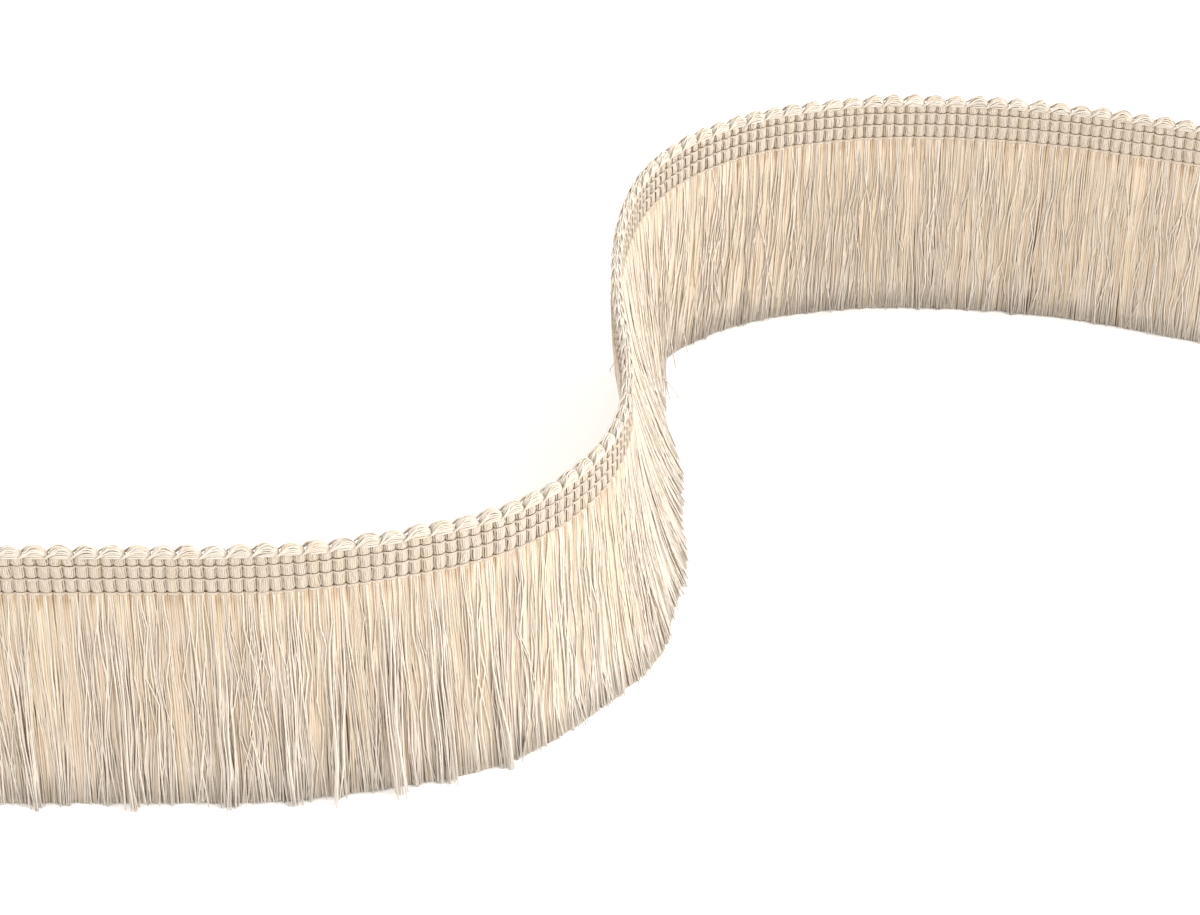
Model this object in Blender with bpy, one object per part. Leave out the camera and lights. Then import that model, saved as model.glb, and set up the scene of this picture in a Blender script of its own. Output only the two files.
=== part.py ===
# A woven trim: a heading of weft ribs under a row of yarn loops, and a skirt of cut yarn locks.
# The cut length stands on its yarn ends in an S curve.
# Units are metres, +Z is up, and the origin is under the middle of the trim, on the floor.

import math
import random
from collections import namedtuple

import bmesh
import bpy
from mathutils import Matrix, Vector

COLLECTION_NAME = "fringe_trim"

# Counts and pitches along the trim
LOOP_COUNT = 84
LOOP_PITCH = 0.005
RIBS_PER_LOOP = 2
RIB_PITCH = LOOP_PITCH / RIBS_PER_LOOP
RIB_COUNT = LOOP_COUNT * RIBS_PER_LOOP

# The heading's lines from the lowest up: the height over the floor, and half the thickness
# on a rib and between two ribs. The three warp rows pinch the ribs in.
Line = namedtuple("Line", "name height on_rib between_ribs")
HEADING_LINES = (
    Line("third warp row", 0.0529, 0.00080, 0.00055),
    Line("lower block", 0.0547, 0.00110, 0.00060),
    Line("second warp row", 0.0564, 0.00080, 0.00055),
    Line("upper block", 0.0580, 0.00110, 0.00060),
    Line("first warp row", 0.0595, 0.00080, 0.00055),
    Line("foot of the loops", 0.0613, 0.00100, 0.00055),
    Line("top of the loops", 0.0640, 0.00060, 0.00050),
)
# How far the top line dips at the stations of one loop: between loops, on a rib, mid loop, on a rib
LOOP_DIPS = (0.0023, 0.0006, 0.0, 0.0006)
LOOP_UNEVENNESS = 0.00035
STATIONS_PER_RIB = len(LOOP_DIPS) // RIBS_PER_LOOP

# The skirt hangs from a narrow strip below the heading
NODE_GAP = 0.0003
STRIP_TOP = HEADING_LINES[0].height - NODE_GAP
STRIP_HEIGHT = 0.0012
STRIP_THICKNESS = 0.0020
SKIRT_SECTIONS = 12
LOCKS_PER_SECTION = RIB_COUNT // SKIRT_SECTIONS

# A lock's levels below its root: the height over the floor, the size along and across the trim,
# how much of the yarn ends' offset it has there, and how far locks stray from each other
Level = namedtuple("Level", "name height width thickness offset_share stray")
LOCK_LEVELS = (
    Level("belly", 0.0270, 0.00195, 0.0027, 0.30, 0.0003),
    Level("cut end", 0.0, 0.00195, 0.0031, 1.00, 0.0007),
)
# Locks lean along the trim to form bunches, and some are fuller than others
BUNCH_LENGTH = 0.011
BUNCH_SWAY = 0.00008
LOOSE_SWAY = 0.00002
LOCK_SWELL = 0.12
# Keeps a drawn corner inside its own cell of the flat slab
CELL_SHRINK = 0.8

# The S curve seen from above, from the near run's free end: each stretch's length, the direction at
# its end in degrees from +X, and how far the yarn ends stand to the right of the heading there
Stretch = namedtuple("Stretch", "name length end_direction end_offset")
START_DIRECTION = 0.0
START_OFFSET = 0.0030
ROUTE = (
    Stretch("near run", 0.056, 0, 0.0030),
    Stretch("near run turning", 0.030, 13, 0.0025),
    Stretch("near bend begins", 0.020, 20, 0.0030),
    Stretch("near bend tightens", 0.024, 48, 0.0025),
    Stretch("near bend", 0.036, 87, 0.0088),
    Stretch("middle run begins", 0.024, 97, 0.0133),
    Stretch("middle run", 0.028, 88, 0.0140),
    Stretch("middle run ends", 0.028, 75, 0.0062),
    Stretch("far bend", 0.028, 43, -0.0050),
    Stretch("far bend eases", 0.026, 18, -0.0055),
    Stretch("far run begins", 0.034, -1, -0.0050),
    Stretch("far run", 0.044, -16, -0.0055),
    Stretch("far run ends", 0.042, -18, -0.0040),
)
STRAIGHT = 1e-6

HEADING_COLOUR = (0.66, 0.57, 0.46, 1.0)
SKIRT_COLOUR = (0.68, 0.59, 0.48, 1.0)
YARN_ROUGHNESS = 0.85
SHARP_ANGLE = math.radians(50.0)
SEED = 7


def clear_scene():
    for item in list(bpy.data.objects):
        bpy.data.objects.remove(item, do_unlink=True)


def yarn_material(name, colour):
    material = bpy.data.materials.new(name)
    material.use_nodes = True
    shader = material.node_tree.nodes["Principled BSDF"]
    shader.inputs["Base Color"].default_value = colour
    shader.inputs["Roughness"].default_value = YARN_ROUGHNESS
    shader.inputs["Metallic"].default_value = 0.0
    material.diffuse_color = colour
    return material


def smooth_step(amount):
    return amount * amount * (3.0 - 2.0 * amount)


Arc = namedtuple("Arc", "begin length place direction bend offset end_offset")


class Route:
    """The S curve as a chain of arcs that meet without a corner."""

    def __init__(self):
        self.arcs = []
        begin = 0.0
        place = Vector((0.0, 0.0))
        direction = math.radians(START_DIRECTION)
        offset = START_OFFSET
        for stretch in ROUTE:
            end_direction = math.radians(stretch.end_direction)
            bend = (end_direction - direction) / stretch.length
            arc = Arc(begin, stretch.length, place, direction, bend, offset, stretch.end_offset)
            self.arcs.append(arc)
            place = self.place_on(arc, stretch.length)
            begin += stretch.length
            direction = end_direction
            offset = stretch.end_offset

    @staticmethod
    def place_on(arc, distance):
        start = arc.direction
        if abs(arc.bend) < STRAIGHT:
            return arc.place + distance * Vector((math.cos(start), math.sin(start)))
        turned = start + arc.bend * distance
        chord = Vector((math.sin(turned) - math.sin(start), math.cos(start) - math.cos(turned)))
        return arc.place + chord / arc.bend

    def arc_at(self, along):
        found = self.arcs[0]
        for arc in self.arcs:
            if along >= arc.begin:
                found = arc
        return found

    def point(self, along, out, height):
        """The point so far along the heading, out to its right hand side, and over the floor."""
        arc = self.arc_at(along)
        distance = along - arc.begin
        turned = arc.direction + arc.bend * distance
        right = Vector((math.sin(turned), -math.cos(turned)))
        place = self.place_on(arc, distance) + out * right
        return Vector((place.x, place.y, height))

    def yarn_end_offset(self, along):
        arc = self.arc_at(along)
        share = smooth_step(min((along - arc.begin) / arc.length, 1.0))
        return arc.offset + (arc.end_offset - arc.offset) * share


def slab(columns, rows):
    """A closed slab one unit thick, whose corners lie at whole numbers."""
    builder = bmesh.new()
    bmesh.ops.create_grid(builder, x_segments=columns, y_segments=rows, size=0.5)
    bmesh.ops.scale(builder, vec=(columns, rows, 1.0), verts=builder.verts[:])
    bmesh.ops.translate(builder, vec=(columns / 2, rows / 2, 0.0), verts=builder.verts[:])
    raised = bmesh.ops.extrude_face_region(builder, geom=builder.faces[:])["geom"]
    upper = [part for part in raised if isinstance(part, bmesh.types.BMVert)]
    bmesh.ops.translate(builder, vec=(0.0, 0.0, 1.0), verts=upper)
    bmesh.ops.recalc_face_normals(builder, faces=builder.faces[:])
    return builder


def finish_object(builder, name, material, collection):
    mesh = bpy.data.meshes.new(name)
    builder.to_mesh(mesh)
    builder.free()
    mesh.materials.append(material)
    mesh.shade_smooth()
    mesh.set_sharp_from_angle(angle=SHARP_ANGLE)
    item = bpy.data.objects.new(name, mesh)
    collection.objects.link(item)
    return item


def make_heading(route, material, collection):
    """One woven band, ribbed on both faces, with a scalloped top line for the loops."""
    chance = random.Random(SEED)
    loop_drops = [chance.uniform(0.0, LOOP_UNEVENNESS) for _loop in range(LOOP_COUNT)]
    top_line = len(HEADING_LINES) - 1
    builder = slab(RIB_COUNT * STATIONS_PER_RIB, top_line)
    for vert in builder.verts:
        station = round(vert.co.x)
        line = HEADING_LINES[round(vert.co.y)]
        side = 1.0 if vert.co.z > 0.5 else -1.0
        half_thickness = line.on_rib if station % STATIONS_PER_RIB else line.between_ribs
        height = line.height
        if round(vert.co.y) == top_line:
            loop = min(station // len(LOOP_DIPS), LOOP_COUNT - 1)
            height -= loop_drops[loop] + LOOP_DIPS[station % len(LOOP_DIPS)]
        vert.co = route.point(station * RIB_PITCH / STATIONS_PER_RIB, side * half_thickness, height)
    return finish_object(builder, "heading", material, collection)


def draw_locks_down(builder):
    """Draw each cell of the slab's low side down, one unit for each level of a lock."""
    faces = [face for face in builder.faces if face.calc_center_median().z < 0.25]
    for depth in range(1, len(LOCK_LEVELS) + 1):
        faces = bmesh.ops.extrude_discrete_faces(builder, faces=faces)["faces"]
        for face in faces:
            middle = face.calc_center_median()
            for corner in face.verts:
                corner.co.x = middle.x + CELL_SHRINK * (corner.co.x - middle.x)
                corner.co.z = -depth
    bmesh.ops.recalc_face_normals(builder, faces=builder.faces[:])


Leaning = namedtuple("Leaning", "stray sway swell")


def lock_leaning(chance, along):
    bunch = math.sin(2.0 * math.pi * along / BUNCH_LENGTH)
    stray = chance.uniform(-1.0, 1.0)
    sway = BUNCH_SWAY * bunch + LOOSE_SWAY * chance.uniform(-1.0, 1.0)
    swell = 1.0 + LOCK_SWELL * chance.uniform(-1.0, 1.0)
    return Leaning(stray, sway, swell)


def strip_point(route, first, place):
    """Where a corner of the strip goes, from its place in the flat slab."""
    low_end = first * RIB_PITCH + NODE_GAP / 2
    high_end = (first + LOCKS_PER_SECTION) * RIB_PITCH - NODE_GAP / 2
    along = min(max((first + round(place.x)) * RIB_PITCH, low_end), high_end)
    height = STRIP_TOP if place.z > 0.5 else STRIP_TOP - STRIP_HEIGHT
    return route.point(along, STRIP_THICKNESS * (0.5 - place.y), height)


def lock_point(route, first, place, leanings):
    """Where a corner of a lock goes, from its place in the flat slab."""
    column = math.floor(place.x)
    leaning = leanings[column]
    level = LOCK_LEVELS[round(-place.z) - 1]
    middle = (first + column + 0.5) * RIB_PITCH
    ahead = 0.5 if place.x - column > 0.5 else -0.5
    right = -0.5 if place.y > 0.5 else 0.5
    along = middle + leaning.sway * level.offset_share + ahead * level.width
    out = route.yarn_end_offset(middle) * level.offset_share + leaning.stray * level.stray
    return route.point(along, out + right * level.thickness * leaning.swell, level.height)


def make_skirt_section(route, section, material, collection):
    """A narrow strip with its locks fused to it, one lock below each rib of the heading."""
    chance = random.Random(SEED + section)
    first = section * LOCKS_PER_SECTION
    leanings = [lock_leaning(chance, (first + column) * RIB_PITCH) for column in range(LOCKS_PER_SECTION)]
    builder = slab(LOCKS_PER_SECTION, 1)
    draw_locks_down(builder)
    for vert in builder.verts:
        place = vert.co.copy()
        if place.z > -0.5:
            vert.co = strip_point(route, first, place)
        else:
            vert.co = lock_point(route, first, place, leanings)
    return finish_object(builder, f"skirt_{section + 1:02d}", material, collection)


def centre_on_floor(parts):
    """Put the origin under the middle of the whole trim."""
    xs = [vert.co.x for part in parts for vert in part.data.vertices]
    ys = [vert.co.y for part in parts for vert in part.data.vertices]
    shift = Matrix.Translation((-(min(xs) + max(xs)) / 2, -(min(ys) + max(ys)) / 2, 0.0))
    for part in parts:
        part.data.transform(shift)


def main():
    clear_scene()
    collection = bpy.data.collections.new(COLLECTION_NAME)
    bpy.context.scene.collection.children.link(collection)
    route = Route()
    parts = [make_heading(route, yarn_material("heading", HEADING_COLOUR), collection)]
    skirt_yarn = yarn_material("skirt", SKIRT_COLOUR)
    for section in range(SKIRT_SECTIONS):
        parts.append(make_skirt_section(route, section, skirt_yarn, collection))
    centre_on_floor(parts)


main()
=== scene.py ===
import math

import bpy
import numpy as np
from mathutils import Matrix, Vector


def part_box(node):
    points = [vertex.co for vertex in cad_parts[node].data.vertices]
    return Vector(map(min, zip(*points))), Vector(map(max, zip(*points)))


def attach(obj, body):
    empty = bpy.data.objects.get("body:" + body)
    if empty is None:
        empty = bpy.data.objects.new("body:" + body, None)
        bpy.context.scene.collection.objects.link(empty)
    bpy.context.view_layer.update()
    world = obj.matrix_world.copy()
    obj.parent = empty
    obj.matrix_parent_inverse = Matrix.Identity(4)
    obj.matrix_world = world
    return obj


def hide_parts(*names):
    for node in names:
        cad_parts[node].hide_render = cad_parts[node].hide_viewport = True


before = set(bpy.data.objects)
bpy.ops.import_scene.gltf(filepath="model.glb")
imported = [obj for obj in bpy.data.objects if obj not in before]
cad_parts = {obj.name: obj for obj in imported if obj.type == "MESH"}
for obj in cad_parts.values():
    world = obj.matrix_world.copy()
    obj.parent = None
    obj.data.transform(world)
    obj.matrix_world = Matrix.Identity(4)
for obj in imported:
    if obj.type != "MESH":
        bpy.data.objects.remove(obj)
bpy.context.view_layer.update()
print("frame loaded,", len(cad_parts), "nodes")

# What runs along the whole trim
trim = {
    "ribs": 168,
    "ribPitch": 0.0025,
    "ribsPerLoop": 2,
    "ribsPerSkirtPiece": 14,
    "warpRows": (0.0529, 0.0564, 0.0595),  # heights over the floor, from the lowest
    "loopFoot": 0.0613,
    "ribHalfThickness": 0.0011,  # of the heading's solid
}
trimLength = trim["ribs"] * trim["ribPitch"]
loopCount = trim["ribs"] // trim["ribsPerLoop"]
loopPitch = trim["ribPitch"] * trim["ribsPerLoop"]


# The S curve from above, from the near run's free end: each stretch's length, the direction at its end
# in degrees from +X, and how far the yarn ends stand out from the face there
def stretch(length, direction, endOffset):
    return {"length": length, "direction": direction, "endOffset": endOffset}


routeStart = stretch(0, 0, 0.0030)
route = [
    stretch(0.056, 0, 0.0030),  # near run
    stretch(0.030, 13, 0.0025),
    stretch(0.020, 20, 0.0030),
    stretch(0.024, 48, 0.0025),
    stretch(0.036, 87, 0.0088),  # near bend
    stretch(0.024, 97, 0.0133),
    stretch(0.028, 88, 0.0140),  # middle run
    stretch(0.028, 75, 0.0062),
    stretch(0.028, 43, -0.0050),  # far bend
    stretch(0.026, 18, -0.0055),
    stretch(0.034, -1, -0.0050),
    stretch(0.044, -16, -0.0055),  # far run
    stretch(0.042, -18, -0.0040),
]


# Points of the flat trim are (along it, up, out of its face). The route is a chain of arcs that meet
# smoothly.
class Route:
    def __init__(self, start, stretches):
        self.lengths = np.array([row["length"] for row in stretches])
        self.begins = np.concatenate(([0.0], np.cumsum(self.lengths)[:-1]))
        turns = np.radians([start["direction"]] + [row["direction"] for row in stretches])
        straightBend = 1e-6  # keeps the chord's formula whole on a straight stretch
        self.directions = turns[:-1]
        self.bends = np.diff(turns) / self.lengths
        self.bends = np.where(np.abs(self.bends) < straightBend, straightBend, self.bends)
        offsets = np.array([start["endOffset"]] + [row["endOffset"] for row in stretches])
        self.offsets = offsets[:-1]
        self.offsetSteps = np.diff(offsets)
        self.places = np.zeros((len(stretches), 2))
        for index in range(1, len(stretches)):
            chord = self.chord(index - 1, self.lengths[index - 1])
            self.places[index] = self.places[index - 1] + chord
        self.shift = np.zeros(2)

    def chord(self, index, distance):
        first = self.directions[index]
        turned = first + self.bends[index] * distance
        step = np.stack([np.sin(turned) - np.sin(first), np.cos(first) - np.cos(turned)], axis=-1)
        return step / np.asarray(self.bends[index])[..., None]

    def find(self, along):
        index = np.clip(np.searchsorted(self.begins, along, side="right") - 1, 0, len(self.begins) - 1)
        return index, along - self.begins[index]

    def stand(self, flat):
        along, up, out = flat[..., 0], flat[..., 1], flat[..., 2]
        index, distance = self.find(along)
        turned = self.directions[index] + self.bends[index] * distance
        right = np.stack([np.sin(turned), -np.cos(turned)], axis=-1)
        place = self.places[index] + self.chord(index, distance) + out[..., None] * right + self.shift
        return np.concatenate([place, up[..., None]], axis=-1)

    def endOffset(self, along):
        index, distance = self.find(along)
        share = easeInOut(distance / self.lengths[index])
        return self.offsets[index] + self.offsetSteps[index] * share


def easeInOut(share):
    share = np.clip(share, 0.0, 1.0)
    return share * share * (3.0 - 2.0 * share)


# The heading's solid starts along +X, so its low corner is the near run's free end, half a rib's
# thickness to the right
trimRoute = Route(routeStart, route)
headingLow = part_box("heading")[0]
trimRoute.shift = np.array([headingLow.x, headingLow.y + trim["ribHalfThickness"]])


# Shader sockets that can be added and multiplied like numbers
class Signal:
    def __init__(self, finish, socket):
        self.finish = finish
        self.socket = socket

    def math(self, operation, first, second):
        return self.finish.node("ShaderNodeMath", {"operation": operation}, {0: first, 1: second})

    def __add__(self, other):
        return self.math("ADD", self, other)

    def __radd__(self, other):
        return self.math("ADD", other, self)

    def __sub__(self, other):
        return self.math("SUBTRACT", self, other)

    def __rsub__(self, other):
        return self.math("SUBTRACT", other, self)

    def __mul__(self, other):
        return self.math("MULTIPLY", self, other)


class Finish:
    def __init__(self, name):
        self.material = bpy.data.materials.new(name)
        self.material.use_nodes = True
        self.tree = self.material.node_tree
        self.shader = self.tree.nodes["Principled BSDF"]

    def connect(self, value, socket):
        if isinstance(value, Signal):
            self.tree.links.new(value.socket, socket)
        else:
            socket.default_value = value

    # Adds any node: its settings first (a ramp's stops among them), then the values or links of its sockets
    def node(self, kind, settings=None, sockets=None, output=0):
        made = self.tree.nodes.new(kind)
        for name, value in (settings or {}).items():
            if name == "stops":
                setStops(made.color_ramp, value)
            else:
                setattr(made, name, value)
        for name, value in (sockets or {}).items():
            self.connect(value, made.inputs[name])
        return Signal(self, made.outputs[output])

    def mixColours(self, share, first, second):
        return self.node("ShaderNodeMix", {"data_type": "RGBA"}, {0: share, 6: first, 7: second}, output=2)

    def set(self, **sockets):
        for name, value in sockets.items():
            self.connect(value, self.shader.inputs[socketNames[name]])


socketNames = {
    "colour": "Base Color",
    "roughness": "Roughness",
    "normal": "Normal",
    "sheen": "Sheen Weight",
    "sheenRoughness": "Sheen Roughness",
    "specular": "Specular IOR Level",
}


def setStops(ramp, stops):
    while len(ramp.elements) < len(stops):
        ramp.elements.new(1.0)
    for element, (place, colour) in zip(ramp.elements, stops):
        element.position = place
        element.color = (*colour, 1.0)


# Linen yarn: each yarn has its own tone, from tan to nearly white, a yellower or a pinker cast, and two
# plies laid round each other. The lowest tone is painted shade, for yarn that lies deep between others
yarnLook = {
    "yellow": (
        (0.0, (0.46, 0.31, 0.17)),
        (0.20, (0.79, 0.65, 0.46)),
        (0.45, (0.80, 0.695, 0.54)),
        (0.78, (0.86, 0.775, 0.64)),
        (1.0, (0.93, 0.85, 0.725)),
    ),
    "pink": (
        (0.0, (0.45, 0.30, 0.18)),
        (0.20, (0.785, 0.64, 0.48)),
        (0.45, (0.79, 0.685, 0.565)),
        (0.78, (0.855, 0.77, 0.665)),
        (1.0, (0.93, 0.85, 0.745)),
    ),
    "roughness": 0.80,
    "roughnessSpread": 0.15,
    "streaks": 0.14,
    "sheen": 0.02,
    "sheenRoughness": 0.5,
    "specular": 0.0,
    "slubScale": 260.0,
    "slubDetail": 2.0,
    "plyDepth": 0.000018,
    "plyStrength": 0.6,
    "plyStart": 7.0,  # the plies of no two yarns lie in step
}


def dyedAndLit(stops, dyeAndLight):
    return [(place, tuple(part * share for part, share in zip(colour, dyeAndLight))) for place, colour in stops]


def yarnFinish(name, plyTurns, dyeAndLight):
    look = yarnLook
    finish = Finish(name)
    tone = finish.node("ShaderNodeAttribute", {"attribute_name": "tone"}, output="Fac")
    cast = finish.node("ShaderNodeAttribute", {"attribute_name": "cast"}, output="Fac")
    place = finish.node("ShaderNodeTexCoord", output="Object")
    yarnPlace = finish.node("ShaderNodeTexCoord", output="UV")
    across = finish.node("ShaderNodeSeparateXYZ", sockets={0: yarnPlace}, output="X")
    along = finish.node("ShaderNodeSeparateXYZ", sockets={0: yarnPlace}, output="Y")
    slubs = finish.node("ShaderNodeTexNoise",
                        sockets={"Vector": place, "Scale": look["slubScale"], "Detail": look["slubDetail"]})
    shade = tone + (slubs - 0.5) * look["streaks"]
    ramps = [{"stops": dyedAndLit(look[tint], dyeAndLight)} for tint in ("yellow", "pink")]
    tints = [finish.node("ShaderNodeValToRGB", ramp, {"Fac": shade}, output="Color") for ramp in ramps]
    colour = finish.mixColours(cast, *tints)
    turn = across + along * plyTurns + cast * look["plyStart"]
    wave = finish.node("ShaderNodeMath", {"operation": "SINE"}, {0: turn * (4.0 * math.pi)})  # two plies
    ply = {"Strength": look["plyStrength"], "Distance": look["plyDepth"], "Height": wave}
    bump = finish.node("ShaderNodeBump", sockets=ply)
    roughness = look["roughness"] + (slubs - 0.5) * look["roughnessSpread"]
    finish.set(colour=colour, roughness=roughness, normal=bump, sheen=look["sheen"],
               sheenRoughness=look["sheenRoughness"], specular=look["specular"])
    return finish.material


# The ground under the rib yarns, seen only in the gaps: its darker brown is painted shade for them
groundLook = {
    # painted shade: the ground's brown stands for the shade in the gaps
    "stops": ((0.3, (0.42, 0.31, 0.20)), (0.7, (0.56, 0.44, 0.30))),
    "grainScale": 1800.0,
    "grainDetail": 3.0,
    "grainStrength": 0.5,
    "grainDepth": 0.0001,
    "roughness": 0.9,
    "roughnessSpread": 0.1,
    "specular": 0.15,
}


def groundFinish():
    look = groundLook
    finish = Finish("headingGround")
    place = finish.node("ShaderNodeTexCoord", output="Object")
    grain = finish.node("ShaderNodeTexNoise",
                        sockets={"Vector": place, "Scale": look["grainScale"], "Detail": look["grainDetail"]})
    colour = finish.node("ShaderNodeValToRGB", {"stops": look["stops"]}, {"Fac": grain}, output="Color")
    relief = {"Strength": look["grainStrength"], "Distance": look["grainDepth"], "Height": grain}
    bump = finish.node("ShaderNodeBump", sockets=relief)
    finish.set(colour=colour, roughness=look["roughness"] - grain * look["roughnessSpread"], normal=bump,
               specular=look["specular"])
    return finish.material


def deselectAll():
    bpy.ops.object.select_all(action="DESELECT")


# One yarn: a round bar cut into rings along its length. Its copies stand in a row, ready to be drawn
# along paths.
def yarnStock(name, sides, rings, copies):
    spacing = 3.0  # clear of the next yarn, in radii
    deselectAll()
    bpy.ops.mesh.primitive_cylinder_add(vertices=sides, radius=1.0, depth=1.0, end_fill_type="NGON",
                                        location=(0.0, 0.0, 0.5))
    yarn = bpy.context.object
    yarn.name = name
    yarn.data.name = name
    bpy.ops.object.transform_apply(location=True)
    bpy.ops.object.mode_set(mode="EDIT")
    bpy.ops.mesh.select_mode(type="EDGE")
    bpy.ops.mesh.select_all(action="DESELECT")
    bpy.ops.object.mode_set(mode="OBJECT")
    for edge in yarn.data.edges:
        low, high = (yarn.data.vertices[index].co.z for index in edge.vertices)
        edge.select = abs(high - low) > 0.5  # the long edges
    bpy.ops.object.mode_set(mode="EDIT")
    bpy.ops.mesh.subdivide(number_cuts=rings - 2)
    bpy.ops.object.mode_set(mode="OBJECT")
    bpy.ops.object.shade_smooth()
    row = yarn.modifiers.new("row", "ARRAY")
    row.count = copies
    row.use_relative_offset = False
    row.use_constant_offset = True
    row.constant_offset_displace = (spacing, 0.0, 0.0)
    bpy.ops.object.modifier_apply(modifier="row")
    return yarn


def meshPlaces(mesh):
    places = np.empty(len(mesh.vertices) * 3, dtype=np.float32)
    mesh.vertices.foreach_get("co", places)
    return places.reshape(-1, 3).astype(float)


def unitLength(vectors):
    return vectors / np.linalg.norm(vectors, axis=-1, keepdims=True)


def paintPoints(mesh, name, values):
    attribute = mesh.attributes.new(name, "FLOAT", "POINT")
    attribute.data.foreach_set("value", values.astype(np.float32).ravel())


# Draws a row of yarns along their paths in the flat trim (yarns x rings x 3), and stands them on the
# route. Tones are one for each yarn, or one for each of its rings. A yarn turns a flat to the face that
# it lies on, give or take the spin
def layYarns(name, paths, radius, tones, sides, material, spin=0.0):
    chance = np.random.default_rng(len(paths))
    copies, rings = paths.shape[:2]
    yarn = yarnStock(name, sides, rings, copies)
    stock = meshPlaces(yarn.data)
    each = len(stock) // copies
    first = stock[:each]
    ring = np.rint(first[:, 2] * (rings - 1)).astype(int)
    tangents = unitLength(np.gradient(paths, axis=1))
    turn = math.pi / sides - math.pi / 2 + chance.uniform(-spin, spin, (copies, 1))
    faceShare = (first[:, 0] * np.cos(turn) - first[:, 1] * np.sin(turn))[..., None]
    sideShare = (first[:, 0] * np.sin(turn) + first[:, 1] * np.cos(turn))[..., None]
    outward = np.zeros((copies, 1, 3))
    outward[:, 0, 2] = np.where(paths[:, 1, 2] < 0.0, -1.0, 1.0)
    lean = np.sum(tangents * outward, axis=-1)
    faceWays = unitLength(outward - lean[..., None] * tangents)
    sideWays = np.cross(tangents, faceWays)
    thickness = np.broadcast_to(np.asarray(radius, dtype=float), (copies, rings))
    around = faceShare * faceWays[:, ring] + sideShare * sideWays[:, ring]
    flat = paths[:, ring] + thickness[:, ring, None] * around
    standing = trimRoute.stand(flat.reshape(-1, 3))
    yarn.data.vertices.foreach_set("co", standing.astype(np.float32).ravel())
    shades = np.broadcast_to(np.reshape(tones, (copies, -1)), (copies, rings))
    paintPoints(yarn.data, "tone", shades[:, ring])
    paintPoints(yarn.data, "cast", np.repeat(chance.random(copies), each))
    yarn.data.update()
    yarn.data.materials.clear()
    yarn.data.materials.append(material)
    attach(yarn, "root")
    triangles = copies * (2 * sides * (rings - 1) + 2 * (sides - 2))
    print(name, copies, "yarns,", triangles, "triangles")
    return yarn


# The weave is uneven: each rib's middle and its crossings with the warp rows are a little off their
# places. A place for each rib at each warp row and at the loops' foot: along and up
weave = {"sidewaysError": 0.00006, "heightError": 0.00006, "heightLimit": 0.0002, "seed": 5}
levels = (*trim["warpRows"], trim["loopFoot"])
ribMiddles = (np.arange(trim["ribs"]) + 0.5) * trim["ribPitch"]


def makeCrossings():
    chance = np.random.default_rng(weave["seed"])
    count = (trim["ribs"], len(levels))
    along = ribMiddles[:, None] + chance.normal(0.0, weave["sidewaysError"], count)
    limit = weave["heightLimit"]
    up = np.array(levels) + chance.normal(0.0, weave["heightError"], count).clip(-limit, limit)
    return np.stack([along, up], axis=-1)


crossings = makeCrossings()


# The heading's ground: one thin cloth with a pinched groove at each row and pinholes between the ribs
ground = {
    "bottom": 0.0495,  # it goes on as the root of the skirt
    "top": 0.0611,
    "onBlock": 0.00062,
    "onRow": 0.00030,
    "rowReach": 0.00060,
    "betweenRibs": 0.00034,
    "inSkirt": 0.00012,
    "pinholeHalf": 0.00016,
    "pinholeBelow": (0.00100, 0.00050),
    "pinholeShare": 0.45,
    "ribShares": (0.28, 0.5, 0.72),  # where a rib's own columns lie across it
    "seed": 11,
}


def groundStations():
    share = ground["pinholeHalf"] / trim["ribPitch"]
    cell = np.array([share, *ground["ribShares"], 1.0 - share])
    columns = (np.arange(trim["ribs"])[:, None] + cell).ravel() * trim["ribPitch"]
    columns = np.concatenate([[0.0], columns, [trimLength]])
    low, high = ground["pinholeBelow"]
    rows = [ground["bottom"], ground["top"]]
    for row in trim["warpRows"]:
        rows += [row - low, row - high, row + high, row + low]
    blockTops = (*trim["warpRows"][1:], ground["top"])
    rows += [(upper + lower) / 2 for lower, upper in zip(trim["warpRows"], blockTops)]
    return columns, np.array(sorted(rows))


# The narrow cell between two ribs, just below a row, is left open at some crossings
def cutPinholes(cloth):
    chance = np.random.default_rng(ground["seed"])
    low, high = ground["pinholeBelow"]
    openings = {(gap, level) for gap in range(1, trim["ribs"]) for level in range(len(trim["warpRows"]))
                if chance.random() < ground["pinholeShare"]}
    bpy.ops.object.mode_set(mode="EDIT")
    bpy.ops.mesh.select_mode(type="FACE")
    bpy.ops.mesh.select_all(action="DESELECT")
    bpy.ops.object.mode_set(mode="OBJECT")
    for face in cloth.data.polygons:
        gap = round(face.center.x / trim["ribPitch"])
        if abs(face.center.x - gap * trim["ribPitch"]) > ground["pinholeHalf"] / 2:
            continue
        for level, height in enumerate(trim["warpRows"]):
            if height - low < face.center.y < height - high and (gap, level) in openings:
                face.select = True
    bpy.ops.object.mode_set(mode="EDIT")
    bpy.ops.mesh.delete(type="FACE")
    bpy.ops.object.mode_set(mode="OBJECT")


# How far the ground's faces lie from its middle: rounded over a rib, pinched at a row, and thin in the
# skirt
def groundDepths(places):
    acrossRib = np.abs((places[:, 0] / trim["ribPitch"]) % 1.0 - 0.5) * 2.0
    ribDepth = ground["betweenRibs"] + (ground["onBlock"] - ground["betweenRibs"]) * (1.0 - acrossRib ** 2)
    pinch = sum(np.exp(-((places[:, 1] - row) / ground["rowReach"]) ** 2) for row in trim["warpRows"])
    depth = ribDepth + (ground["onRow"] - ribDepth) * np.clip(pinch, 0.0, 1.0)
    return np.where(places[:, 1] < trim["warpRows"][0] - ground["onRow"], ground["inSkirt"], depth)


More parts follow.
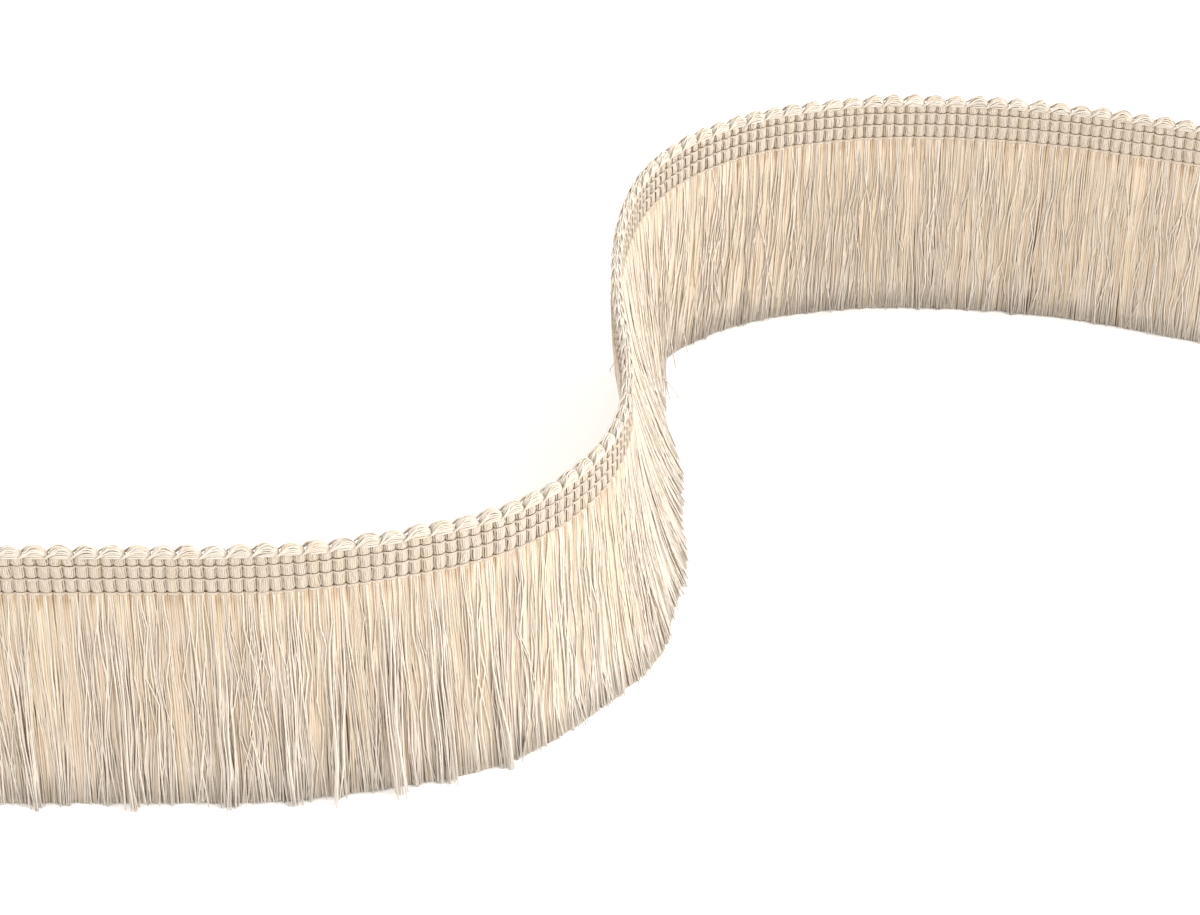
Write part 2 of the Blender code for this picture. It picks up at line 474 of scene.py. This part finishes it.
def makeGround():
    columns, rows = groundStations()
    deselectAll()
    bpy.ops.mesh.primitive_grid_add(x_subdivisions=len(columns) - 1, y_subdivisions=len(rows) - 1, size=2.0)
    cloth = bpy.context.object
    cloth.name = "headingCloth"
    cloth.data.name = "headingCloth"
    places = meshPlaces(cloth.data)
    column = np.rint((places[:, 0] + 1.0) / 2.0 * (len(columns) - 1)).astype(int)
    row = np.rint((places[:, 1] + 1.0) / 2.0 * (len(rows) - 1)).astype(int)
    flat = np.stack([columns[column], rows[row], np.zeros(len(places))], axis=-1)
    cloth.data.vertices.foreach_set("co", flat.astype(np.float32).ravel())
    cutPinholes(cloth)
    thicken = cloth.modifiers.new("thickness", "SOLIDIFY")
    thicken.thickness = 2 * ground["onBlock"]
    thicken.offset = 0.0
    bpy.ops.object.modifier_apply(modifier="thickness")
    places = meshPlaces(cloth.data)
    places[:, 2] = np.sign(places[:, 2]) * groundDepths(places)
    standing = trimRoute.stand(places)
    cloth.data.vertices.foreach_set("co", standing.astype(np.float32).ravel())
    cloth.data.update()
    bpy.ops.object.shade_smooth()
    cloth.data.materials.append(groundFinish())
    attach(cloth, "root")
    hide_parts("heading")
    print("headingCloth", len(cloth.data.polygons), "faces")
    return cloth


# The ribs: fine yarns side by side on each face. A rib is drawn in at each warp row, where its lower
# corners are rounded, and swells between the rows. Each row: height over the crossing, shares of the
# swell and of the width
def section(up, out, width):
    return {"up": up, "out": out, "width": width}


rib = {
    "yarnsPerFace": 6,
    "halfWidth": 0.00097,
    "yarnRadius": 0.00027,
    "swell": 0.00105,
    "crown": 0.00032,  # how much lower the rib's outer yarns lie
    "smile": 0.00003,  # how much lower the rib's middle yarns meet a row
    "smileReach": 0.0004,
    "swellSpread": (0.93, 1.05),
    "overRow": (
        section(0.00003, 0.48, 0.68),
        section(0.00020, 0.82, 0.72),
        section(0.00052, 0.96, 0.88),
        section(0.00100, 1.00, 0.99),
    ),
    "underRow": (
        section(-0.00100, 1.00, 0.99),
        section(-0.00048, 0.88, 0.93),
        section(-0.00008, 0.48, 0.90),
    ),
    "underLoops": (
        section(-0.00015, 0.92, 0.94),
        section(0.00045, 0.48, 0.90),
    ),
    "unevenness": 0.000025,
    "tone": 0.50,
    "toneSpread": 0.07,
    "darkest": 0.2,
    # painted shade: the rings drawn into a row's groove take this darker tone
    "rowShadeTone": 0.32,
    "rowSwell": 0.5,  # rings with less swell than this lie in a row
    "seed": 21,
}


def ribSections():
    rings = [(0, part) for part in rib["overRow"]]
    for level in range(1, len(trim["warpRows"])):
        rings += [(level, part) for part in (*rib["underRow"], *rib["overRow"])]
    rings += [(len(trim["warpRows"]), part) for part in rib["underLoops"]]
    return rings


def makeRibYarns(name, side, material):
    chance = np.random.default_rng(rib["seed"] + (side > 0))
    rings = ribSections()
    level = np.array([level for level, _part in rings])
    lift, swell, width = (np.array([part[column] for _level, part in rings])
                          for column in ("up", "out", "width"))
    yarns = rib["yarnsPerFace"]
    count = trim["ribs"] * yarns
    places = np.repeat(crossings[:, level], yarns, axis=0)
    at = np.tile(np.linspace(-1.0, 1.0, yarns), trim["ribs"])[:, None]
    ribSwell = np.repeat(chance.uniform(*rib["swellSpread"], trim["ribs"]), yarns)[:, None]
    along = places[..., 0] + at * rib["halfWidth"] * width * ribSwell
    along = along + chance.normal(0.0, rib["unevenness"], (count, len(rings)))
    atRow = np.exp(-(lift / rib["smileReach"]) ** 2)
    up = places[..., 1] + lift - rib["smile"] * (1.0 - at ** 2) * atRow
    out = (rib["swell"] * ribSwell - rib["crown"] * at ** 4) * swell
    out = out + chance.normal(0.0, rib["unevenness"], (count, len(rings)))
    paths = np.stack([along, up, side * out], axis=-1)
    tones = chance.normal(rib["tone"], rib["toneSpread"], (count, 1)).clip(rib["darkest"], 1.0)
    # Painted shade: rings that lie in a row's groove are darker, for the shade in the groove
    tones = np.where(swell < rib["rowSwell"], rib["rowShadeTone"], tones)
    return layYarns(name, paths, rib["yarnRadius"], tones, 3, material)


# The warp: just under each row's groove two fine yarns side by side bind each rib, on both faces, and dip
# into the holes between the ribs
warp = {
    "yarnRadius": 0.00017,
    "below": 0.00032,
    "apart": 0.00028,
    "out": 0.00095,
    "crown": 0.00016,
    "holeOut": 0.00040,
    "smile": 0.00005,
    "smileSpread": (0.6, 1.3),
    "tilt": 0.00004,
    "stations": (-1.04, -0.88, -0.55, 0.0, 0.55, 0.88, 1.04),
    "tone": 0.50,
    "toneSpread": 0.06,
    "darkest": 0.3,
    "seed": 31,
}


def makeWarp(material):
    chance = np.random.default_rng(warp["seed"])
    share = np.array(warp["stations"])[None, :]
    dip = share ** 8
    out = (warp["out"] - warp["crown"] * share ** 4) * (1.0 - dip).clip(0.0, 1.0) + warp["holeOut"] * dip
    paths = []
    for level in range(len(trim["warpRows"])):
        middle, row = crossings[:, level, 0, None], crossings[:, level, 1, None]
        for side in (-1.0, 1.0):
            for place in (-0.5, 0.5):
                along = middle + share * trim["ribPitch"] / 2
                sag = warp["smile"] * (1.0 - share ** 2)
                sag = sag * chance.uniform(*warp["smileSpread"], (trim["ribs"], 1))
                tilt = chance.normal(0.0, warp["tilt"], (trim["ribs"], 1)) * share
                up = row - warp["below"] + place * warp["apart"] - sag + tilt
                paths.append(np.stack([along, up, side * np.broadcast_to(out, along.shape)], axis=-1))
    paths = np.concatenate(paths)
    tones = chance.normal(warp["tone"], warp["toneSpread"], len(paths)).clip(warp["darkest"], 1.0)
    return layYarns("warpYarns", paths, warp["yarnRadius"], tones, 3, material)


# The loops: each bundle leaves one rib, turns over and goes down the next. Outer arcs carry its outline,
# crossing arcs start low in front of the loop before, and filling arcs lie nested below. Each row: how
# many arcs, their heights, how far they reach back and ahead, how slowly they rise on each side, how far
# out of the middle they lie, and their yarn's radius
def family(count, low, high, back, ahead, backRise, aheadRise, depth, radius):
    return {"count": count, "low": low, "high": high, "back": back, "ahead": ahead,
            "backRise": backRise, "aheadRise": aheadRise, "depth": depth, "radius": radius}


loops = {
    "families": (
        family(2, 0.0024, 0.0028, 0.0024, 0.0025, 0.70, 0.80, 0.00035, 0.00018),
        family(6, 0.0015, 0.0025, 0.0038, 0.0023, 1.60, 0.75, 0.00095, 0.00019),
        family(14, 0.0000, 0.0022, 0.0023, 0.0023, 0.45, 0.45, 0.00100, 0.00023),
    ),
    "longReach": 0.0030,  # arcs that reach back further lie in front there
    "top": 0.0028,
    "footOut": 0.00060,
    "frontOut": 0.00118,
    "dip": 0.0004,
    "tuck": 0.65,  # the ends go in between the rib yarns
    "tipShift": 0.00022,
    "tipShiftOfLoop": 0.0003,
    "unevenness": 0.04,
    "heightSpread": (0.88, 1.03),
    "depthSpread": (0.85, 1.05),
    "rings": 10,
    "tone": 0.58,
    "toneSpread": 0.14,
    "darkest": 0.25,
    # painted shade where the arcs' feet go in among the rib yarns
    "footShadeTone": 0.35,
    "seed": 41,
}


# From the side a loop is a dome: each family's arcs stand round it, from the front foot over the top to
# the back
def domeArcs():
    rows = []
    for row in loops["families"]:
        for number in range(row["count"]):
            turn = math.pi * (number + 0.5) / row["count"]
            height = row["low"] + (row["high"] - row["low"]) * math.sin(turn)
            rows.append(dict(row, height=height, out=row["depth"] * math.cos(turn)))
    return rows


def makeLoops(material):
    chance = np.random.default_rng(loops["seed"])
    rows = domeArcs()
    arcs = len(rows)
    count = loopCount * arcs

    def column(name):
        return np.tile([row[name] for row in rows], loopCount)[:, None]

    def perLoop(low, high):
        return np.repeat(chance.uniform(low, high, loopCount), arcs)[:, None]

    middle = np.repeat((np.arange(loopCount) + 0.5) * loopPitch, arcs)[:, None]
    step = np.linspace(-1.0, 1.0, loops["rings"])[None, :]
    step = step * (1.4 - 0.4 * step ** 2)  # closer together at the feet
    uneven = 1.0 + loops["unevenness"] * chance.normal(0.0, 1.0, (count, 1))
    height = np.minimum(column("height") * perLoop(*loops["heightSpread"]) * uneven, loops["top"])
    reach = np.where(step < 0.0, column("back"), column("ahead"))
    slowness = np.where(step < 0.0, column("backRise"), column("aheadRise"))
    slowerBy = 2.0 * loops["unevenness"] * chance.normal(0.0, 1.0, (count, 1)).clip(-2.0, 2.0)
    slowness = slowness * (1.0 + slowerBy)
    rise = np.cos(step * math.pi / 2).clip(0.0, 1.0) ** slowness
    tip = chance.normal(0.0, loops["tipShift"], (count, 1))
    tip = tip + perLoop(-loops["tipShiftOfLoop"], loops["tipShiftOfLoop"])
    along = middle + step * reach + tip * rise
    up = trim["loopFoot"] + height * rise - loops["dip"] * np.abs(step) ** 8
    depth = column("out") * chance.uniform(*loops["depthSpread"], (count, 1))
    foot = np.clip(depth, -loops["footOut"], loops["footOut"])
    inFront = (column("back") > loops["longReach"]) * easeInOut((-step - 0.05) * 1.8)
    out = foot + (depth - foot) * rise
    out = out + (np.sign(depth) * loops["frontOut"] - out) * inFront
    out = out * (1.0 - loops["tuck"] * np.abs(step) ** 12)
    along = np.clip(along, 0.0, None)
    tones = chance.normal(loops["tone"], loops["toneSpread"], (count, 1)).clip(loops["darkest"], 1.0)
    # Painted shade: each arc darkens towards its feet, where it goes in among the rib yarns
    tones = tones + (loops["footShadeTone"] - tones) * (1.0 - rise) ** 3
    paths = np.stack([along, up, out], axis=-1)
    return layYarns("loopYarns", paths, column("radius"), tones, 4, material)


# A lock that stands out from its neighbours: where it is, how far out its foot is drawn, and how much
# paler it is
def standingLock(along, out, tone):
    return {"along": along, "out": out, "tone": tone}


# The skirt: yarns that leave each rib in a bunch, fall in loose locks and stand on their cut ends. An
# even curtain of deeper yarns runs behind the slits between the bunches
skirt = {
    "yarnsPerRib": 42,
    "fillPerRib": 10,
    "yarnRadius": 0.00022,
    "radiusShare": (0.80, 1.10),
    "fillRadius": 0.00036,  # a bar for several of the yarns behind
    "sides": 3,
    "spin": math.pi / 3,
    "top": 0.0531,
    "fillTop": 0.0527,
    "cutLow": 0.00005,
    "cutHigh": 0.00110,
    # the rings' places down the fall, and how wide and deep a rib's bunch is there
    "fall": (0.0, 0.010, 0.030, 0.080, 0.17, 0.28, 0.40, 0.53, 0.67, 0.83, 1.0),
    "halfWidths": (0.00070, 0.00094, 0.00098, 0.00108, 0.00124, 0.00130, 0.00132, 0.00132, 0.00132, 0.00132,
                   0.00132),
    "halfDepths": (0.00035, 0.00082, 0.00098, 0.00106, 0.00114, 0.00120, 0.00127, 0.00132, 0.00137, 0.00142,
                   0.00150),
    "fullness": 0.16,  # under a half, more of the yarns lie at the outside of their bunch
    "roundness": 0.30,  # how much less a bunch's depth is at its sides
    # the deeper yarns: where they stand in their even steps, their depths as shares of the bunch's, and how
    # much of the others' lean, wave, splay and cut they have
    "fillSteps": (0.35, 0.65),
    "fillDepths": (0.68, 0.86),
    "fillLean": 0.1,
    "fillWave": 0.3,
    "fillSplay": 0.1,
    "fillCut": 0.3,
    "endIn": 0.00035,  # at the trim's free ends the deeper yarns close the skirt from face to face
    "endDepth": 0.8,
    "flareCurve": 1.64,
    "lockPitch": (0.0016, 0.0042),
    "lockLean": 0.0009,
    "lockOut": 0.0012,
    "lockOutShare": (0.3, 1.5),
    "lockWave": 0.00022,
    "lockWaveShare": (0.3, 1.0),
    "lockWaveLength": (0.018, 0.040),
    "lockCut": 0.00025,
    "lockBlur": 0.0006,  # how loosely a yarn picks the nearest lock
    "outWeight": 1.5,  # and how much more a step out counts there than one along
    "standingLocks": (
        standingLock(0.015, 0.0060, 0.14),
        standingLock(0.036, 0.0085, 0.12),
        standingLock(0.056, 0.0060, 0.12),
        standingLock(0.068, 0.0060, 0.12),
        standingLock(0.079, 0.0085, 0.20),
        standingLock(0.089, 0.0100, 0.22),
        standingLock(0.100, 0.0060, 0.14),
        standingLock(0.112, 0.0070, 0.12),
    ),
    "gather": (0.12, 0.46),
    "gatherFrom": 0.15,
    "strayFollows": 0.2,  # how far strays and deeper yarns follow their lock
    "fillFollows": 0.05,
    "lean": 0.00070,
    "sways": ((0.047, 0.0007, 1.0), (0.019, 0.0004, 4.1), (0.110, 0.0006, 2.2)),  # length, size, start
    "wave": (0.00006, 0.00026),
    "outWave": (0.00006, 0.00022),
    "outWavePace": 0.8,
    "waveLength": (0.016, 0.042),
    "stillTop": 0.3,  # the share of the fall in which the waves set in
    "strayShare": 0.13,
    "strayLean": 0.0019,
    "strayLeanLimit": 0.0025,
    "strayLeanShare": (0.5, 2.2),
    "strayWave": 2.5,
    "strayOut": 0.00025,
    "strayRadius": 0.80,
    "strayOutBy": 0.2,  # by this share of the fall
    "endSplay": (0.00030, 0.00048),  # along and out
    "endRadius": 0.8,
    "overhang": 0.001,  # how far yarns may pass the trim's ends
    "tone": 0.47,
    "toneSpread": 0.05,
    "toneFall": 0.10,  # how much paler a yarn is at its foot than at its root
    "toneFallFrom": 0.4,
    "endLightTone": 0.36,  # and how much paler still the ends are: painted light on them
    "endFall": 0.74,
    "fillEndShare": 0.7,  # the curtain's share of it
    "lockToneSpread": 0.045,
    # painted shade: the deeper yarns take a darker tone than the others
    "fillShadeTone": 0.24,
    "fillToneShare": 0.4,
    "darkest": 0.10,
    # painted shade on the top ring, where the yarns leave their rib
    "rootShadeTone": 0.12,
    # painted shade: the deeper yarns behind the slits are darker at their tops
    "slitShadeTone": 0.22,  # how much darker the yarns behind the slits are at their tops
    "slitFall": 0.10,
    "paleShare": 0.10,
    "paleTones": (0.54, 0.78),
    "seed": 51,
}


# Locks share a lean, a wave and a tone, and their middles stand at uneven steps in a front and a back row
def skirtLocks():
    chance = np.random.default_rng(skirt["seed"])
    low, high = skirt["lockPitch"]
    rows = []
    for side in (-1.0, 1.0):
        steps = chance.uniform(low, high, int(trimLength / low))
        middles = np.cumsum(steps)
        middles = middles[middles < trimLength - low / 2]
        out = side * skirt["lockOut"] * chance.uniform(*skirt["lockOutShare"], len(middles))
        rows.append(np.stack([middles, out], axis=-1))
    places = np.concatenate(rows)
    count = len(places)
    tones = chance.normal(0.0, skirt["lockToneSpread"], count)
    pulls = places[:, 1].copy()
    for row in skirt["standingLocks"]:
        chosen = np.argmin(np.abs(places[:, 0] - row["along"]) + (places[:, 1] < 0.0))
        pulls[chosen] = row["out"]
        tones[chosen] = row["tone"]
    return {
        "along": places[:, 0],
        "out": places[:, 1],
        "pull": pulls,
        "lean": chance.normal(0.0, skirt["lockLean"], count),
        "wave": chance.uniform(*skirt["lockWaveShare"], count) * skirt["lockWave"],
        "waveLength": chance.uniform(*skirt["lockWaveLength"], count),
        "phase": chance.uniform(0.0, 2.0 * math.pi, count),
        "tone": tones,
        "cut": chance.uniform(-skirt["lockCut"], skirt["lockCut"], count),
    }


# A yarn is one of the even curtain's (fill), a stray, or one of a lock's. Depths go from the middle to
# the faces
def skirtPaths(chance, locks, firstRib):
    ribs = trim["ribsPerSkirtPiece"]
    count = ribs * skirt["yarnsPerRib"]
    fall = np.array(skirt["fall"])[None, :]
    ribNumber = firstRib + np.repeat(np.arange(ribs), skirt["yarnsPerRib"])[:, None]
    number = np.tile(np.arange(skirt["yarnsPerRib"]), ribs)[:, None]
    side = np.where(number % 2 == 0, 1.0, -1.0)

    def each(low, high):
        return chance.uniform(low, high, (count, 1))

    # Each yarn's place at its root, across its rib and out of the middle
    fill = number < skirt["fillPerRib"]
    stray = ~fill & (each(0.0, 1.0) < skirt["strayShare"])
    outer = skirt["yarnsPerRib"] - skirt["fillPerRib"]
    across = 2.0 * (((number - skirt["fillPerRib"]) // 2 + each(0.0, 1.0)) / (outer // 2)) - 1.0
    reach = each(0.0, 1.0) ** skirt["fullness"]
    outRoot = reach * (1.0 - skirt["roundness"] * across ** 2) * side
    middle = crossings[ribNumber[:, 0], 0, 0][:, None]
    even = ((number + each(*skirt["fillSteps"])) / skirt["fillPerRib"] - 0.5) * trim["ribPitch"]
    along = np.where(fill, middle + even, middle + across * np.array(skirt["halfWidths"]))
    root = along[:, :1]
    fillRoot = side * each(*skirt["fillDepths"])
    atStart, atFinish = fill & (ribNumber == 0), fill & (ribNumber == trim["ribs"] - 1)
    along = np.where(atStart, skirt["endIn"], np.where(atFinish, trimLength - skirt["endIn"], along))
    wallRoot = skirt["endDepth"] * (2.0 * (number + 0.5) / skirt["fillPerRib"] - 1.0)
    fillRoot = np.where(atStart | atFinish, wallRoot, fillRoot)
    out = np.where(fill, fillRoot, outRoot) * np.array(skirt["halfDepths"])
    lean = chance.normal(0.0, skirt["lean"], (count, 1)) * np.where(fill, skirt["fillLean"], 1.0)
    along = along + lean * fall ** 1.3
    # Each yarn is gathered into the nearest lock, less at the top than at the foot
    farAlong = locks["along"][None, :] - along[:, -1:] - chance.normal(0.0, skirt["lockBlur"], (count, 1))
    farOut = locks["out"][None, :] - out[:, -1:]
    nearest = np.argmin(farAlong ** 2 + skirt["outWeight"] * farOut ** 2, axis=1)
    lock = {name: values[nearest][:, None] for name, values in locks.items()}
    gather = each(*skirt["gather"]) * easeInOut((fall - skirt["gatherFrom"]) / (1.0 - skirt["gatherFrom"]))
    gather = np.where(fill | stray, 0.0, gather)
    follows = np.where(stray, skirt["strayFollows"], np.where(fill, skirt["fillFollows"], 1.0))
    along = along + gather * (lock["along"] - along) + lock["lean"] * follows * fall ** 1.5
    out = out + gather * (lock["pull"] - out)
    for length, size, start in skirt["sways"]:
        along = along + size * np.sin(2 * math.pi * root / length + start) * fall ** 1.2
    # Waves: the lock's own and each yarn's own, both still at the root
    free = np.where(fill, skirt["fillWave"], np.where(stray, skirt["strayWave"], 1.0))
    free = free * easeInOut(fall / skirt["stillTop"])
    drop = fall * skirt["top"]
    along = along + lock["wave"] * free * np.sin(2 * math.pi * drop / lock["waveLength"] + lock["phase"])
    for _wave in range(2):
        bend = 2 * math.pi * drop / each(*skirt["waveLength"])
        along = along + each(*skirt["wave"]) * free * np.sin(bend + each(0.0, 2 * math.pi))
        outSize = each(*skirt["outWave"])
        out = out + outSize * free * np.sin(bend * skirt["outWavePace"] + each(0.0, 2 * math.pi))
    # Strays lie on the face and cross the others
    face = np.array(skirt["halfDepths"]) + skirt["strayOut"] * easeInOut(fall / skirt["strayOutBy"])
    out = np.where(stray, np.where(outRoot > 0.0, face, -face), out)
    limit = skirt["strayLeanLimit"]
    strayLean = chance.normal(0.0, skirt["strayLean"], (count, 1)).clip(-limit, limit)
    strayLean = strayLean * each(*skirt["strayLeanShare"])
    along = along + np.where(stray, strayLean * fall ** 1.1, 0.0)
    # The cut ends splay a little, and the whole skirt flares as the route says
    splay = np.where(fill, skirt["fillSplay"], 1.0)
    alongSplay, outSplay = skirt["endSplay"]
    along = along + chance.normal(0.0, alongSplay, (count, 1)) * splay * fall ** 6
    out = out + chance.normal(0.0, outSplay, (count, 1)) * splay * fall ** 5
    out = out + trimRoute.endOffset(np.clip(middle, 0.0, trimLength)) * fall ** skirt["flareCurve"]
    cut = np.clip(each(skirt["cutLow"], skirt["cutHigh"]) + lock["cut"], skirt["cutLow"], None)
    cut = np.where(fill, skirt["cutLow"] + skirt["fillCut"] * (cut - skirt["cutLow"]), cut)
    top = np.where(fill, skirt["fillTop"], skirt["top"])
    up = top + (cut - top) * fall
    along = np.clip(along, -skirt["overhang"], trimLength + skirt["overhang"])
    tones = skirtTones(chance, fill, stray, lock["tone"] * follows)
    radius = np.where(fill, skirt["fillRadius"], skirt["yarnRadius"] * each(*skirt["radiusShare"]))
    radius = radius * np.where(stray, skirt["strayRadius"], 1.0)
    radius = radius * np.where(~fill & (fall == 1.0), skirt["endRadius"], 1.0)
    return np.stack([along, up, out], axis=-1), radius, tones


# A tone for each ring: the yarn's own and its lock's, paler down the fall, with painted light on the ends
# and painted shade at the root and behind the slits
def skirtTones(chance, fill, stray, lockTone):
    fall = np.array(skirt["fall"])[None, :]
    count = len(fill)
    tones = skirt["tone"] + skirt["toneSpread"] * chance.normal(0.0, 1.0, (count, 1)) + lockTone
    pale = stray | (chance.uniform(0.0, 1.0, (count, 1)) < skirt["paleShare"])
    tones = np.where(pale, chance.uniform(*skirt["paleTones"], (count, 1)), tones)
    # Painted shade: the deeper yarns are darker than the others
    tones = np.where(fill, skirt["fillShadeTone"] + skirt["fillToneShare"] * (tones - skirt["tone"]), tones)
    # Painted shade: the deeper yarns are darker at their tops, behind the slits between the bunches
    slitShade = (1.0 - fall / skirt["slitFall"]).clip(0.0, 1.0)
    tones = tones - np.where(fill, skirt["slitShadeTone"] * slitShade, 0.0)
    # Painted light: the ends are paler, and those of the deeper yarns by a share of it
    ends = ((fall - skirt["endFall"]) / (1.0 - skirt["endFall"])).clip(0.0, 1.0)
    paler = skirt["toneFall"] * (fall - skirt["toneFallFrom"]) + skirt["endLightTone"] * ends
    fillEndLight = skirt["fillEndShare"] * skirt["endLightTone"] * ends
    tones = (tones + np.where(fill, fillEndLight, paler)).clip(skirt["darkest"], 1.0)
    # Painted shade: the top ring, where the yarns leave their rib, is dark
    return np.where(fall == 0.0, skirt["rootShadeTone"], tones)


def makeSkirt(material):
    locks = skirtLocks()
    pieces = []
    for number in range(trim["ribs"] // trim["ribsPerSkirtPiece"]):
        chance = np.random.default_rng(skirt["seed"] + 1 + number)
        paths, radius, tones = skirtPaths(chance, locks, number * trim["ribsPerSkirtPiece"])
        name = f"skirtYarns_{number + 1:02d}"
        piece = layYarns(name, paths, radius, tones, skirt["sides"], material, skirt["spin"])
        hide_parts(f"skirt_{number + 1:02d}")
        pieces.append(piece)
    return pieces


# Two stray yarns at the foot of the middle run: from where they leave the skirt to where they touch the
# floor
def hair(along, up, out, footAlong, footOut):
    return {"start": (along, up, out), "end": (footAlong, 0.0002, footOut)}


hairs = {
    "rows": (
        hair(0.2550, 0.0060, 0.0030, 0.2562, 0.0088),
        hair(0.2580, 0.0070, -0.0072, 0.2583, -0.0115),
    ),
    "rings": 8,
    "sag": 0.0012,
    "yarnRadius": 0.00014,
    "tone": 0.70,
}


def makeHairs(material):
    share = np.linspace(0.0, 1.0, hairs["rings"])[:, None]
    paths = []
    for row in hairs["rows"]:
        start, end = np.array(row["start"]), np.array(row["end"])
        path = start + (end - start) * share
        path[:, 1] += hairs["sag"] * np.sin(math.pi * share[:, 0])
        paths.append(path)
    tones = np.full(len(paths), hairs["tone"])
    return layYarns("strayYarns", np.array(paths), hairs["yarnRadius"], tones, 4, material)


# The camera looks along +Y and down, from the trim's near side
view = {"pitch": 36.32, "lens": 91.5, "sensor": 36.0, "height": 0.4288, "right": 0.1324, "back": 0.4675}


def makeCamera():
    start = trimRoute.shift
    camera = bpy.data.objects.new("camera", bpy.data.cameras.new("camera"))
    camera.data.lens = view["lens"]
    camera.data.sensor_width = view["sensor"]
    camera.location = (start[0] + view["right"], start[1] - view["back"], view["height"])
    camera.rotation_euler = (math.radians(90.0 - view["pitch"]), 0.0, 0.0)
    bpy.context.scene.collection.objects.link(camera)
    bpy.context.scene.camera = camera


# A white table in a white tent, with a broad lamp to the right, a weaker one to the left and a weak low
# one in front, all aimed at the trim
def lamp(name, place, size, power):
    return {"name": name, "place": place, "size": size, "power": power}


studio = {
    "floorSize": 8.0,
    "floorRoughness": 0.9,
    "floorSpecular": 0.1,
    "floorColour": (0.93, 0.925, 0.915, 1.0),
    "worldColour": (1.0, 0.978, 0.94, 1.0),
    "worldStrength": 1.13,
    "lamps": (
        lamp("right", (1.2, -0.45, 0.9), 1.8, 39.0),
        lamp("left", (-1.2, -0.3, 0.9), 1.5, 12.0),
        lamp("front", (-0.5, -1.9, 0.45), 1.2, 2.5),
    ),
}


def makeStudio():
    deselectAll()
    bpy.ops.mesh.primitive_plane_add(size=studio["floorSize"], location=(0.0, 0.0, 0.0))
    floor = bpy.context.object
    floor.name = "floor"
    finish = Finish("floorPaper")
    finish.set(colour=studio["floorColour"], roughness=studio["floorRoughness"],
               specular=studio["floorSpecular"])
    floor.data.materials.append(finish.material)
    world = bpy.data.worlds.new("tent")
    world.use_nodes = True
    world.node_tree.nodes["Background"].inputs["Color"].default_value = studio["worldColour"]
    world.node_tree.nodes["Background"].inputs["Strength"].default_value = studio["worldStrength"]
    bpy.context.scene.world = world
    for row in studio["lamps"]:
        made = bpy.data.objects.new(row["name"], bpy.data.lights.new(row["name"], "AREA"))
        made.data.size = row["size"]
        made.data.energy = row["power"]
        made.location = row["place"]
        made.rotation_euler = (-Vector(row["place"])).to_track_quat("-Z", "Y").to_euler()
        bpy.context.scene.collection.objects.link(made)
    bpy.context.scene.view_settings.view_transform = "Standard"


makeCamera()
makeStudio()
print("camera and studio made")

# The parts are one linen yarn: each dye is its colour, and their differences are painted light and shade, the
# skirt lighter against the deep shade in it, the heading darker against the light it catches
headingYarn = yarnFinish("headingYarn", plyTurns=8.0, dyeAndLight=(0.595, 0.585, 0.595))
warpYarn = yarnFinish("warpYarn", plyTurns=2.0, dyeAndLight=(0.645, 0.625, 0.63))
loopYarn = yarnFinish("loopYarn", plyTurns=6.0, dyeAndLight=(0.675, 0.69, 0.73))
skirtYarn = yarnFinish("skirtYarn", plyTurns=30.0, dyeAndLight=(0.735, 0.73, 0.75))

headingCloth = makeGround()
frontRibs = makeRibYarns("ribYarnsFront", 1.0, headingYarn)
backRibs = makeRibYarns("ribYarnsBack", -1.0, headingYarn)
warpYarns = makeWarp(warpYarn)
loopYarns = makeLoops(loopYarn)
print("heading made")
skirtPieces = makeSkirt(skirtYarn)
strayYarns = makeHairs(skirtYarn)
print("skirt made")
